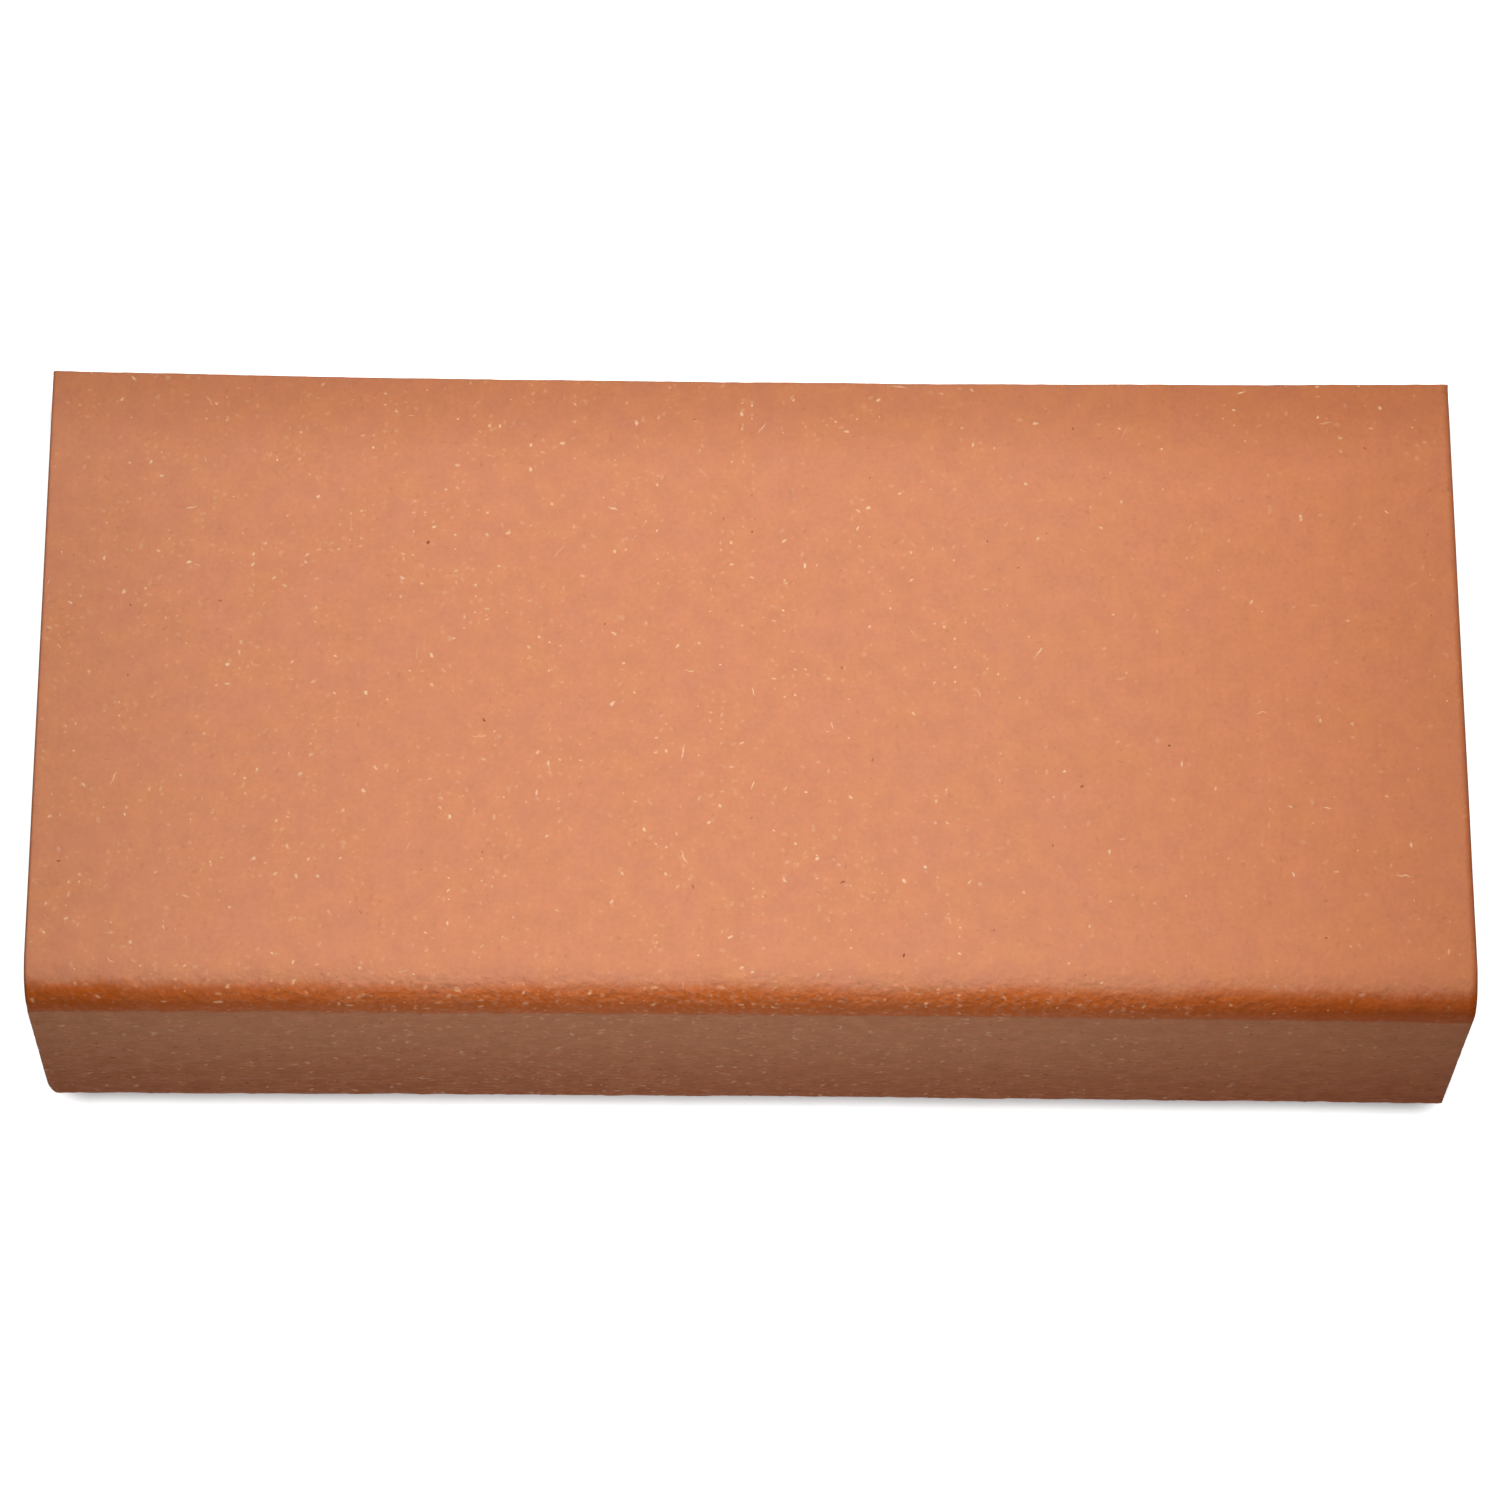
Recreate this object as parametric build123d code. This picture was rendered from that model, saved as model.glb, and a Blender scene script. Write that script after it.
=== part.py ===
from build123d import *

import math
import os

# Stair tread tile: one length of extruded, unglazed fired clay with an L-shaped section.
# A flat plate covers the tread, its front edge rolls over a rounded nose, and a short leg
# covers the top of the riser. Lengthwise dovetail keys in the hidden faces grip the mortar.
#
# The section is drawn as the tile is laid on a step: Y runs back from the front face and
# Z runs up, with the walking surface at Z = 0. The finished tile is then tipped back until
# it rests as it lies on a level floor, on the leg's inner toe and the plate's back edge.

# Driving dimensions in millimetres
length = 240.0
depth = 114.0
leg_height = 51.0
plate_thickness = 10.0
leg_thickness = 10.0

# Rounded edges of the section
nose_radius = 7.5
inner_radius = 5.0
toe_radius = 1.5
arris_radius = 0.8

# Dovetail keys: narrow at the mouth, wider at the root
key_pitch = 12.0
key_mouth = 8.0
key_root = 9.6
key_depth = 1.5
key_margin = 6.0

# Each key prism also reaches this far out of the face it is cut into
key_overshoot = 1.0


def blank():
    """L-section carried along the length, with the nose, the inner corner and the toe rounded."""
    corners = {
        (0, 0): nose_radius,
        (depth, 0): 0,
        (depth, -plate_thickness): 0,
        (leg_thickness, -plate_thickness): inner_radius,
        (leg_thickness, -leg_height): 0,
        (0, -leg_height): toe_radius,
    }
    outline = FilletPolyline(*corners, radius=corners.values(), close=True)
    section = Plane.YZ * make_face(outline)
    return Pos(X=-length / 2) * extrude(section, amount=length, dir=(1, 0, 0))


def eased(tile):
    """Takes the sharp arris off both cut ends and off the square long edges."""
    square_edges = [
        (depth, 0),
        (depth, -plate_thickness),
        (leg_thickness, -leg_height),
    ]
    long_edges = tile.edges().filter_by(Axis.X)
    arrises = [long_edges.sort_by_distance((0, y, z))[0] for y, z in square_edges]
    for end in tile.faces().filter_by(Axis.X):
        arrises.extend(end.edges())
    return fillet(arrises, radius=arris_radius)


def key_centres(start, end):
    """Centres of the keys that fit between two ends of a hidden face, spread evenly about its middle."""
    room = end - start - 2 * key_margin - key_mouth
    count = max(int(room // key_pitch) + 1, 0)
    first = (start + end - (count - 1) * key_pitch) / 2
    return [first + number * key_pitch for number in range(count)]


def key_prism():
    """Dovetail prism along X, with its mouth at Z = 0 and its root above it."""
    flare = (key_root - key_mouth) / 2 / key_depth
    outer_half = key_mouth / 2 - flare * key_overshoot
    root_half = key_root / 2
    profile = Polygon(
        (-outer_half, -key_overshoot),
        (outer_half, -key_overshoot),
        (root_half, key_depth),
        (-root_half, key_depth),
        align=None,
    )
    return extrude(Plane.YZ * profile, amount=length, both=True, dir=(1, 0, 0))


def keyed(tile):
    """Cuts the keys into the plate's underside and the leg's back."""
    prism = key_prism()
    plate_keys = key_centres(leg_thickness + inner_radius, depth - arris_radius)
    leg_keys = key_centres(plate_thickness + inner_radius, leg_height - arris_radius)
    tile -= [Pos(Y=centre, Z=-plate_thickness) * prism for centre in plate_keys]
    tile -= [Pos(Y=leg_thickness, Z=-centre) * Rot(X=90) * prism for centre in leg_keys]
    return tile


def at_rest(tile):
    """Tips the tile back onto the toe and the back edge, with the floor at Z = 0 and centred on it."""
    rest_tilt = math.atan2(leg_height - plate_thickness, depth - leg_thickness)
    tipped = Rot(X=-math.degrees(rest_tilt)) * tile
    box = tipped.bounding_box()
    return Pos(-box.center().X, -box.center().Y, -box.min.Z) * tipped


tread_tile = at_rest(keyed(eased(blank())))

os.makedirs("parts", exist_ok=True)
export_step(tread_tile, "parts/tread_tile.step")
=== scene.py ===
import functools
import math

import bpy
import numpy as np
from bpy.props import FloatProperty, FloatVectorProperty, IntProperty, PointerProperty
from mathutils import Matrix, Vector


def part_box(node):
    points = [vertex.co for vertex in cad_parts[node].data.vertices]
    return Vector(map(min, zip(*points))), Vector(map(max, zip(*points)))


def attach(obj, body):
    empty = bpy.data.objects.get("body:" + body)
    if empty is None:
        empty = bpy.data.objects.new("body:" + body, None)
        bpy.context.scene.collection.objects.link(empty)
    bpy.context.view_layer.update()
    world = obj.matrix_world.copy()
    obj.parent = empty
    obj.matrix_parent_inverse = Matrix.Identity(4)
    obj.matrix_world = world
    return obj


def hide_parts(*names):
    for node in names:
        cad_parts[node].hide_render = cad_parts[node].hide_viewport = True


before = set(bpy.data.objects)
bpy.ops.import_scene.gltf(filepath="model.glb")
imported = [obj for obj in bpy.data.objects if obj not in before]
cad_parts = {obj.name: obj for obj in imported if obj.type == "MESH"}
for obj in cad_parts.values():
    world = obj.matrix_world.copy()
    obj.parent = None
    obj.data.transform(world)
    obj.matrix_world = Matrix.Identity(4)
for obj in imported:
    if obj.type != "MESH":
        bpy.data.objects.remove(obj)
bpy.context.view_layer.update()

bl_info = {
    "name": "Stair Tread Tile",
    "version": (1, 0, 0),
    "blender": (4, 5, 0),
    "location": "View3D > Sidebar > Tread Tile",
    "description": "Builds an extruded, unglazed stair tread tile with its fired surface, and a plain stage",
    "category": "Object",
}

MM = 0.001
NODE = "tread_tile"
BODY = "root"
TILE_LOW, TILE_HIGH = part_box(NODE)

# Fineness of the worn side: points that draw each run of the section, and points kept of them all
RUN_POINTS = 200
OUTER_POINTS = 164

# Fineness of the hidden side: pieces of a short flat, of an arris and of the inner round
FLAT_PIECES = 2
ARRIS_PIECES = 4
INNER_PIECES = 10

# Fineness along the length: places between the cut ends, steps of an end's rounding, and the grid of an end
MIDDLE_STATIONS = 400
ARRIS_STEPS = 6
CAP_ROWS = 7
CAP_COLUMNS = 110

# Edges that turn by more than this are shaded sharp
SHARP_TURN = math.radians(40)

# Depth of an end's rounding, in arris radii
END_ROUND = 0.95

# Grid on which relief is worked out: its pitch, its fewest points, the spread of the wavelengths that a layer
# keeps, and the least share of a wavelength that it tells apart
RELIEF_PITCH = 0.4 * MM
FEWEST_POINTS = 8
BAND_SPREAD = 0.45
LEAST_WAVE = 1e-6

# Wavelengths of the relief
WAVE_SPACING = 45 * MM
PEEL_SPACING = 6 * MM
GRAIN_SPACING = 2.8 * MM
DRAG_SPACING = 3 * MM
PIMPLE_SPACING = 2.2 * MM
SWELL_SPACING = 9 * MM
TEAR_SPACING = 3 * RELIEF_PITCH

# How many times longer than wide the drag lines are
DRAG_STRETCH = 10.0

# What stays below the pimples' feet, in spreads of their grain
PIMPLE_FOOT = 0.3

# Start and full strength of the nose's finishes, as the surface's turn from the walking surface in degrees
BURNISHED_TURN = (24, 60)
ROUGH_TURN = (6, 40)

# Start and full strength of the front face's finish below the nose, where its painted reflection of the white
# table starts to fade, and how far the painted shade reaches from the back edge
RISER_START = (0.6 * MM, 2.2 * MM)
REFLECTION_FADE_START = 8 * MM
BACK_SHADE_REACH = 20 * MM

# Where relief starts and is full, from the two lines on which the tile rests, in arris radii
RELIEF_START = (2, 6)

# How squarely a face has to look back for its arris to get crisper, and to be crispest
LOOKS_BACK = (0.3, 0.9)

# Burnish and painted shade of the rims at the cut ends: the power that spreads them over the rounding, and
# their loss at the back
RIM_SPREAD = 0.3
RIM_LOSS = 0.7

# Length over which the worn toe corner starts, in its reaches
CORNER_START = 3

# Where the pattern of the cut ends starts, well away from that of the skin
CAP_SKIN_START = 1.0


def linear(hex_colour):
    """Linear RGB of an sRGB hex colour such as #C46535: each channel goes through the sRGB curve."""
    channels = np.array([int(hex_colour[place:place + 2], 16) for place in (1, 3, 5)]) / 255
    low = channels / 12.92
    high = ((channels + 0.055) / 1.055) ** 2.4
    return tuple(float(value) for value in np.where(channels <= 0.04045, low, high))


class TileSizes(bpy.types.PropertyGroup):
    """Section of the tile as it is laid, and its length."""

    length: FloatProperty(
        name="Length", description="Along the step, from cut end to cut end",
        default=TILE_HIGH.x - TILE_LOW.x, unit="LENGTH")
    depth: FloatProperty(
        name="Depth", description="From the front face to the back edge",
        default=114.0 * MM, unit="LENGTH")
    leg_height: FloatProperty(
        name="Leg height", description="From the walking surface to the toe of the leg",
        default=51.0 * MM, unit="LENGTH")
    plate_thickness: FloatProperty(
        name="Plate thickness", description="Walking surface to underside",
        default=10.0 * MM, unit="LENGTH")
    leg_thickness: FloatProperty(
        name="Leg thickness", description="Front face to the leg's back",
        default=10.0 * MM, unit="LENGTH")
    nose_radius: FloatProperty(
        name="Nose radius", description="Rounding of the step's edge",
        default=7.5 * MM, unit="LENGTH")
    inner_radius: FloatProperty(
        name="Inner radius", description="Rounding between plate and leg",
        default=5.0 * MM, unit="LENGTH")
    toe_radius: FloatProperty(
        name="Toe radius", description="Rounding of the leg's front toe",
        default=1.5 * MM, unit="LENGTH")
    arris_radius: FloatProperty(
        name="Arris radius", description="Rounding of the square edges",
        default=0.8 * MM, unit="LENGTH")
    left_arris: FloatProperty(
        name="Left arris", description="How far the rounding of the left cut end reaches along the tile",
        default=0.6 * MM, unit="LENGTH")
    right_arris: FloatProperty(
        name="Right arris", description="How far the rounding of the right cut end reaches along the tile",
        default=1.2 * MM, unit="LENGTH")
    key_pitch: FloatProperty(
        name="Key pitch", description="Spacing of the dovetail keys",
        default=12.0 * MM, unit="LENGTH")
    key_mouth: FloatProperty(
        name="Key mouth", description="Width of a key at the surface",
        default=8.0 * MM, unit="LENGTH")
    key_root: FloatProperty(
        name="Key root", description="Width of a key at its root",
        default=9.6 * MM, unit="LENGTH")
    key_depth: FloatProperty(
        name="Key depth", description="Depth of a key",
        default=1.5 * MM, unit="LENGTH")
    key_margin: FloatProperty(
        name="Key margin", description="Least plain width beside the outer keys",
        default=6.0 * MM, unit="LENGTH")


class TileRelief(bpy.types.PropertyGroup):
    """What drying, firing, the die and the cutting wire leave on the surface."""

    seed: IntProperty(name="Seed", description="Start of the random surface", default=7, min=0)
    back_bow: FloatProperty(
        name="Back bow", description="How far the back edge draws in at mid length",
        default=0.93 * MM, unit="LENGTH")
    front_bow: FloatProperty(
        name="Front bow", description="How far the nose draws in at mid length",
        default=0.5 * MM, unit="LENGTH")
    toe_bow: FloatProperty(
        name="Toe bow", description="How far the toe draws in at mid length",
        default=0.27 * MM, unit="LENGTH")
    corner_reach: FloatProperty(
        name="Corner reach", description="Rounding of the left toe corner, along the tile",
        default=2.2 * MM, unit="LENGTH")
    corner_rise: FloatProperty(
        name="Corner rise", description="Rounding of the left toe corner, up the leg",
        default=6.0 * MM, unit="LENGTH")
    wave_height: FloatProperty(
        name="Wave height", description="Spread of the long waves",
        default=0.03 * MM, unit="LENGTH")
    peel_height: FloatProperty(
        name="Peel height", description="Spread of the soft dimples",
        default=0.015 * MM, unit="LENGTH")
    grain_height: FloatProperty(
        name="Grain height", description="Spread of the fine grain",
        default=0.008 * MM, unit="LENGTH")
    drag_height: FloatProperty(
        name="Drag height", description="Spread of the die's drag lines",
        default=0.008 * MM, unit="LENGTH")
    pimple_height: FloatProperty(
        name="Pimple height", description="Height of the pimples on the nose and below it",
        default=0.05 * MM, unit="LENGTH")
    swell_height: FloatProperty(
        name="Swell height", description="Spread of the swells on the nose and below it",
        default=0.04 * MM, unit="LENGTH")
    crisp_front: FloatProperty(
        name="Crisp front", description="How much crisper than the others the arrises of front and back are",
        default=0.75, subtype="FACTOR")
    skew: FloatProperty(
        name="Skew", description="How far out of square the ends are cut",
        default=0.33 * MM, unit="LENGTH")
    die_gap: FloatProperty(
        name="Die gap", description="Most that the relief can rise",
        default=0.1 * MM, unit="LENGTH")
    skin_depth: FloatProperty(
        name="Skin depth", description="How far the mean surface lies under the ideal section",
        default=0.11 * MM, unit="LENGTH")
    tear_depth: FloatProperty(
        name="Tear depth", description="Spread of the tears on the cut ends",
        default=0.04 * MM, unit="LENGTH")


class TileColours(bpy.types.PropertyGroup):
    """Colours of the fired clay."""

    face: FloatVectorProperty(
        name="Face", description="Yellower clay of the flat faces",
        subtype="COLOR", default=linear("#D98F66"))
    face_pink: FloatVectorProperty(
        name="Face pink", description="Pinker clay of the flat faces",
        subtype="COLOR", default=linear("#D98E6C"))
    # Also the darker rims of the cut ends, where it is partly painted shade
    nose: FloatVectorProperty(
        name="Nose", description="Burnished nose and arrises",
        subtype="COLOR", default=linear("#D26B2F"))
    nose_end: FloatVectorProperty(
        name="Nose ends", description="Burnished nose towards the cut ends",
        subtype="COLOR", default=linear("#CA6325"))
    riser: FloatVectorProperty(
        name="Riser", description="Front face near the toe",
        subtype="COLOR", default=linear("#BB6C44"))
    # Painted reflection of the white table on the front face below the nose
    painted_reflection: FloatVectorProperty(
        name="Bloom", description="Front face below the nose",
        subtype="COLOR", default=linear("#CF8860"))
    fleck: FloatVectorProperty(
        name="Fleck", description="Pale grog",
        subtype="COLOR", default=linear("#FFDCB6"))
    # Painted highlight on the grain's tips, and the paler clay where they are worn
    pale_clay_and_highlight: FloatVectorProperty(
        name="Tip", description="Rubbed tips of the grain on the nose and the front face",
        subtype="COLOR", default=linear("#FAB083"))
    tint: FloatVectorProperty(
        name="Tint", description="Multiplies the clay towards the right end, where it is deeper",
        subtype="COLOR", default=linear("#FFF5EA"))
    # Painted shade: this colour darkens the clay towards the back edge and the cut ends
    painted_edge_shade: FloatVectorProperty(
        name="Rear", description="Multiplies the clay towards the back edge and cut ends, where it is deeper",
        subtype="COLOR", default=linear("#EAE3D9"))
    # Dark iron pits, and the painted shade of small dents in the surface
    pit_and_dent_shade: FloatVectorProperty(
        name="Pit", description="Dark iron pits",
        subtype="COLOR", default=linear("#80492F"))


class StageSettings(bpy.types.PropertyGroup):
    """Camera, lamps and floor."""

    lens: FloatProperty(name="Lens", description="Focal length on a 36 mm sensor", default=139.99, min=1.0)
    camera_place: FloatVectorProperty(
        name="Camera place", description="Where the camera stands",
        subtype="TRANSLATION", unit="LENGTH", default=(-14.47 * MM, -20.49 * MM, 1009.54 * MM))
    camera_turn: FloatVectorProperty(
        name="Camera turn", description="Camera angles, applied about Z, then Y, then X",
        subtype="EULER", unit="ROTATION",
        default=tuple(math.radians(angle) for angle in (1.053, -0.832, 0.505)))
    lamp_width: FloatProperty(
        name="Lamp width", description="Side of each soft lamp along the tile",
        default=200 * MM, unit="LENGTH")
    lamp_depth: FloatProperty(
        name="Lamp depth", description="Side of each soft lamp across the tile",
        default=100 * MM, unit="LENGTH")
    back_power: FloatProperty(
        name="Back lamp power", description="Power of the lamp over the back edge",
        default=1.13, unit="POWER")
    back_place: FloatVectorProperty(
        name="Back lamp place", description="Where the lamp over the back edge hangs",
        subtype="TRANSLATION", unit="LENGTH", default=(7 * MM, 174 * MM, 329 * MM))
    front_power: FloatProperty(
        name="Front lamp power", description="Power of the lamp before the nose",
        default=0.218, unit="POWER")
    front_place: FloatVectorProperty(
        name="Front lamp place", description="Where the lamp before the nose hangs",
        subtype="TRANSLATION", unit="LENGTH", default=(-15 * MM, -110 * MM, 233 * MM))
    sky_strength: FloatProperty(
        name="Sky strength", description="Strength of the even light from all sides", default=0.03)
    floor_size: FloatProperty(name="Floor size", description="Side of the floor", default=6.0, unit="LENGTH")
    floor_colour: FloatVectorProperty(
        name="Floor colour", description="Colour of the floor under the lamps",
        subtype="COLOR", default=linear("#E6E6E6"))
    floor_glow: FloatProperty(
        name="Floor glow", description="White that the camera sees in the floor besides its lit colour",
        default=1.0)
    floor_fill: FloatProperty(
        name="Floor fill", description="Share of that white that lights the tile", default=0.03)
    shadow_reach: FloatProperty(
        name="Shadow reach", description="How far from the tile that white is shut out",
        default=6 * MM, unit="LENGTH")
    shadow_lean: FloatProperty(
        name="Shadow lean", description="Lean from upright to the back of the way in which that white comes",
        default=math.radians(50), subtype="ANGLE", unit="ROTATION")
    shadow_dark: FloatProperty(
        name="Shadow dark", description="Share of open view at which that white is gone",
        default=0.43, subtype="FACTOR")
    shadow_clear: FloatProperty(
        name="Shadow clear", description="Share of open view at which that white is whole",
        default=0.79, subtype="FACTOR")


def line(start, end, pieces):
    """Straight run: start + t (end - start) for t evenly from 0 and short of 1."""
    t = np.arange(pieces)[:, None] / pieces
    return (1 - t) * np.asarray(start) + t * np.asarray(end)


def arc(centre, radius, first, last, pieces):
    """Round run: centre + radius (cos a, sin a) for a evenly from first and short of last, in degrees."""
    a = np.radians(first + (last - first) * np.arange(pieces) / pieces)
    return np.asarray(centre) + radius * np.stack([np.cos(a), np.sin(a)], axis=1)


def lengths_along(points):
    """Distance along a chain of points from its first point."""
    steps = np.linalg.norm(np.diff(points, axis=0), axis=1)
    return np.concatenate([[0.0], np.cumsum(steps)])


def key_centres(run, size):
    """Centres of the keys that fit a straight run, as distances from its start, spread about its middle."""
    room = run - 2 * size.key_margin - size.key_mouth
    count = max(int(room // size.key_pitch) + 1, 0)
    return run / 2 + (np.arange(count) - (count - 1) / 2) * size.key_pitch


def keyed_run(start, end, into, size):
    """Straight run with dovetail keys: start + u along + w into, where each key goes in from its mouth to its
    wider root and out again."""
    start = np.asarray(start)
    run = np.linalg.norm(np.asarray(end) - start)
    along = (np.asarray(end) - start) / run
    mouth, root = size.key_mouth / 2, size.key_root / 2
    across = np.array([-mouth, -root, 0, root, mouth])
    inward = np.array([0, 1, 1, 1, 0]) * size.key_depth
    centres = key_centres(run, size)
    u = np.concatenate([[0.0], (centres[:, None] + across).ravel()])
    w = np.concatenate([[0.0], np.tile(inward, len(centres))])
    return start + u[:, None] * along + w[:, None] * np.asarray(into)


def outer_skin(size):
    """Worn side of the section, from the middle of the back edge over the top and nose to the middle of the
    toe. Each run is measured with its length times the number before it, most on the rounds, and the points
    stand at even steps of that measure, so they crowd on the rounds."""
    d, h, t, g = size.depth, size.leg_height, size.plate_thickness, size.leg_thickness
    a, n, q = size.arris_radius, size.nose_radius, size.toe_radius
    runs = [
        (1, line((d, -t / 2), (d, -a), RUN_POINTS)),
        (4, arc((d - a, -a), a, 0, 90, RUN_POINTS)),
        (1, line((d - a, 0), (n, 0), RUN_POINTS)),
        (2.6, arc((n, -n), n, 90, 180, RUN_POINTS)),
        (1.3, line((0, -n), (0, q - h), RUN_POINTS)),
        (3, arc((q, q - h), q, 180, 270, RUN_POINTS)),
        (1, line((q, -h), (g / 2, -h), RUN_POINTS)),
    ]
    points = np.concatenate([run for _, run in runs] + [[(g / 2, -h)]])
    crowding = np.repeat([times for times, _ in runs], RUN_POINTS)
    steps = np.linalg.norm(np.diff(points, axis=0), axis=1) * crowding
    measure = np.concatenate([[0.0], np.cumsum(steps)])
    even = np.linspace(0, measure[-1], OUTER_POINTS)
    return np.stack([np.interp(even, measure, points[:, axis]) for axis in (0, 1)], axis=1)


def inner_skin(size):
    """Hidden side of the section, from the middle of the back edge along the keyed underside, the inner round
    and the leg's keyed back to the middle of the toe."""
    d, h, t, g = size.depth, size.leg_height, size.plate_thickness, size.leg_thickness
    a, r = size.arris_radius, size.inner_radius
    return np.concatenate([
        line((d, -t / 2), (d, a - t), FLAT_PIECES),
        arc((d - a, a - t), a, 0, -90, ARRIS_PIECES),
        keyed_run((d - a, -t), (g + r, -t), (0, 1), size),
        arc((g + r, -t - r), r, 90, 180, INNER_PIECES),
        keyed_run((g, -t - r), (g, a - h), (-1, 0), size),
        arc((g - a, a - h), a, 0, -90, ARRIS_PIECES),
        line((g - a, -h), (g / 2, -h), FLAT_PIECES),
        [(g / 2, -h)],
    ])


def outward(ring):
    """Unit normals of a closed ring of points, and the mitred vectors that move every side out by one."""
    sides = np.roll(ring, -1, axis=0) - ring
    sides /= np.linalg.norm(sides, axis=1, keepdims=True)
    after = np.stack([sides[:, 1], -sides[:, 0]], axis=1)
    before = np.roll(after, 1, axis=0)
    both = before + after
    mitred = both / (1 + np.sum(before * after, axis=1, keepdims=True))
    return both / np.linalg.norm(both, axis=1, keepdims=True), mitred


def stations(size):
    """Places along X and how far the section draws in there: none in the middle, and an elliptical quarter
    round at each cut end, x = end - reach (1 - sin a), inset = radius (1 - cos a)."""
    half = size.length / 2
    deepest = END_ROUND * size.arris_radius
    a = np.radians(np.linspace(0, 90, ARRIS_STEPS + 1))
    left = -half + size.left_arris * (1 - np.sin(a[::-1]))
    right = half - size.right_arris * (1 - np.sin(a))
    middle = np.linspace(left[-1], right[0], MIDDLE_STATIONS + 2)[1:-1]
    inset = deepest * (1 - np.cos(a))
    x = np.concatenate([left, middle, right])
    return x, np.concatenate([inset[::-1], np.zeros(MIDDLE_STATIONS), inset])


def band_noise(rng, across, along, wave, stretch=1.0):
    """Seamless random relief of unit spread on a grid: white noise whose spectrum keeps a band of wavelengths
    about the given one, stretched along the first axis."""
    counts = [max(int(round(extent / RELIEF_PITCH)), FEWEST_POINTS) for extent in (across, along)]
    white = rng.standard_normal(counts)
    fx = np.fft.fftfreq(counts[0], across / counts[0])[:, None] * stretch
    fy = np.fft.fftfreq(counts[1], along / counts[1])[None, :]
    waves = np.maximum(np.hypot(fx, fy) * wave, LEAST_WAVE)
    kept = np.exp(-0.5 * (np.log(waves) / BAND_SPREAD) ** 2)
    relief = np.fft.ifft2(np.fft.fft2(white) * kept).real
    return relief / relief.std()


def sampled(grid, across, along, x, s):
    """A seamless grid read between its points at places x by distances s: bilinear, one axis at a time."""
    for axis, extent, places in ((0, across, x), (1, along, s)):
        count = grid.shape[axis]
        place = (places / extent * count) % count
        first = np.floor(place).astype(int) % count
        part = place - np.floor(place)
        part = part[:, None] if axis == 0 else part[None, :]
        low = np.take(grid, first, axis=axis)
        high = np.take(grid, (first + 1) % count, axis=axis)
        grid = low + part * (high - low)
    return grid


def ramp(values, start, end):
    """Smooth step from 0 at start to 1 at end: t^2 (3 - 2t)."""
    t = np.clip((values - start) / (end - start), 0, 1)
    return t * t * (3 - 2 * t)


def surface_relief(relief, x, s, length, around, rough):
    """Height of the surface over the ideal section: long waves, soft dimples, fine grain and drag lines
    everywhere, and where it is rough also pimples, the tops of a coarser grain, and swells. Nothing stands
    above the die, so the height is cut off at a limit, and the mean surface lies just deeper than that."""
    rng = np.random.default_rng(relief.seed)
    layers = [
        (relief.wave_height, WAVE_SPACING, 1.0),
        (relief.peel_height, PEEL_SPACING, 1.0),
        (relief.grain_height, GRAIN_SPACING, 1.0),
        (relief.drag_height, DRAG_SPACING, DRAG_STRETCH),
    ]
    total = np.zeros((len(x), len(s)))
    for height, wave, stretch in layers:
        grid = band_noise(rng, length, around, wave, stretch)
        total += height * sampled(grid, length, around, x, s)
    pimples = np.maximum(band_noise(rng, length, around, PIMPLE_SPACING) - PIMPLE_FOOT, 0)
    swells = band_noise(rng, length, around, SWELL_SPACING)
    total += relief.pimple_height * sampled(pimples, length, around, x, s) * rough
    total += relief.swell_height * sampled(swells, length, around, x, s) * rough
    return np.minimum(total, relief.die_gap) - relief.skin_depth


def zipped(outer, outer_place, inner, inner_place):
    """Triangles between two chains of vertices: sorted by place, each step goes on along the chain whose next
    vertex comes first."""
    places = np.concatenate([outer_place[1:], inner_place[1:]])
    on_outer = np.arange(len(places)) < len(outer) - 1
    on_outer = on_outer[np.argsort(places, kind="stable")]
    i = np.cumsum(on_outer) - on_outer
    k = np.cumsum(~on_outer) - ~on_outer
    i_next = np.minimum(i + 1, len(outer) - 1)
    k_next = np.minimum(k + 1, len(inner) - 1)
    third = np.where(on_outer, outer[i_next], inner[k_next])
    return np.stack([outer[i], third, inner[k]], axis=1)


def cap_places(chain, anchors, dent_shades):
    """Place of each point of a chain on the scale that pairs the two sides of a cut end: the chain's own
    length, stretched between the anchor points so that each falls on its mark."""
    measure = lengths_along(chain)
    gaps = np.linalg.norm(chain[None, :, :] - np.asarray(anchors)[:, None, :], axis=2)
    return np.interp(measure, measure[np.argmin(gaps, axis=1)], dent_shades)


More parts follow.
